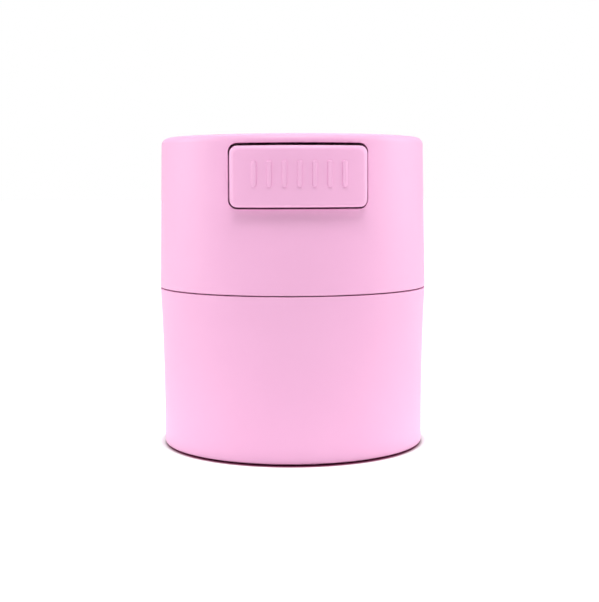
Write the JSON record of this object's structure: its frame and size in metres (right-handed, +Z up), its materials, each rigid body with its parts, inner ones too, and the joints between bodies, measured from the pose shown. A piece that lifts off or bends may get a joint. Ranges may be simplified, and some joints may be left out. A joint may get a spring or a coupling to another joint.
{
  "type": "vacuum storage canister",
  "caption": "Small round canister with a cup in a tapered body, a cap that slides over the cup's neck on a lip seal, and a sprung push button that opens an air valve.",
  "frame": {"origin": "centre of the foot ring, on the surface the canister stands on", "axes": "+Z up along the canister's axis, -Y towards the push button, +X to the right seen from the button's side"},
  "size_m": [0.066, 0.068, 0.0757],
  "materials": {
    "shell_pink": "fine moulded texture, opaque pink",
    "liner_pink": "smooth satin, opaque pink",
    "silicone": "satin, milky white",
    "acetal": "smooth, natural white",
    "spring_steel": "drawn wire"
  },
  "bodies": {
    "base": {"base_shell": "shell_pink", "inner_vessel": "liner_pink"},
    "seal": {"seal_ring": "silicone"},
    "cap": {"cap_shell": "shell_pink", "cap_liner": "liner_pink", "return_spring_left": "spring_steel", "return_spring_right": "spring_steel"},
    "button": {"push_button": "shell_pink", "valve_stem": "acetal", "valve_disc": "silicone"}
  },
  "joints": [
    {"name": "cap_turn", "type": "hinge", "parent": "base", "child": "seal", "pos_m": [0, 0, 0.0523], "axis": [0, 0, 1], "continuous": true},
    {"name": "cap_lift", "type": "slide", "parent": "seal", "child": "cap", "axis": [0, 0, 1], "range_m": [0, 0.06]},
    {"name": "button_press", "type": "slide", "parent": "cap", "child": "button", "axis": [0, 1, 0], "range_m": [0, 0.002], "stiffness_N_per_m": 400, "springref_m": -0.001, "deforming": ["return_spring_left", "return_spring_right"]}
  ]
}
